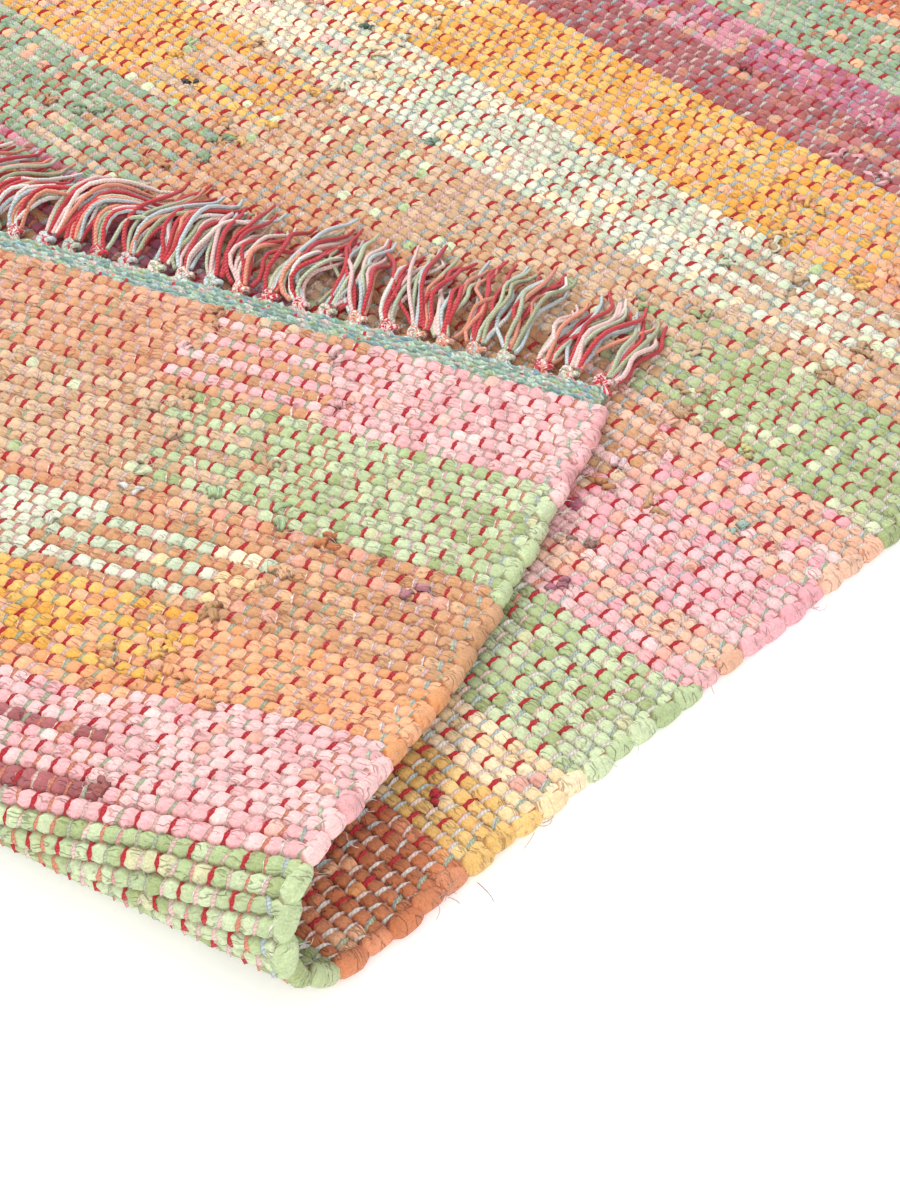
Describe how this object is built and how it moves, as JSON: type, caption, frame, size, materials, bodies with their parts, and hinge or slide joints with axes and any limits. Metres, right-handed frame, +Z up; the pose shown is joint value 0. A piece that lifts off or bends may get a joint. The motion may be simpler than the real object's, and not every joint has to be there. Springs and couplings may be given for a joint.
{
  "type": "cotton rug",
  "caption": "Hand-woven cotton rag rug with knotted fringes, lying flat with one end folded back over itself at a skew.",
  "frame": {"origin": "centre of the box round the folded rug, on the floor", "axes": "+X along the weft towards the selvedge that faces the viewer, +Y along the warp from the fold to the far fringe, +Z up from the floor"},
  "size_m": [0.6853, 0.7956, 0.046],
  "materials": {
    "rag_weave": "thick matt weft of cotton rag strips in pink, green, tan, orange, yellow, mint and mauve stripes on thin coloured warps",
    "warp_yarn": "matt plied cotton warp yarn in red, coral, pink, sage, grey blue and off-white, with a finely woven grey green heading"
  },
  "bodies": {
    "root": {"rug_cloth": "rag_weave", "near_fringe": "warp_yarn", "far_fringe": "warp_yarn"}
  },
  "joints": []
}
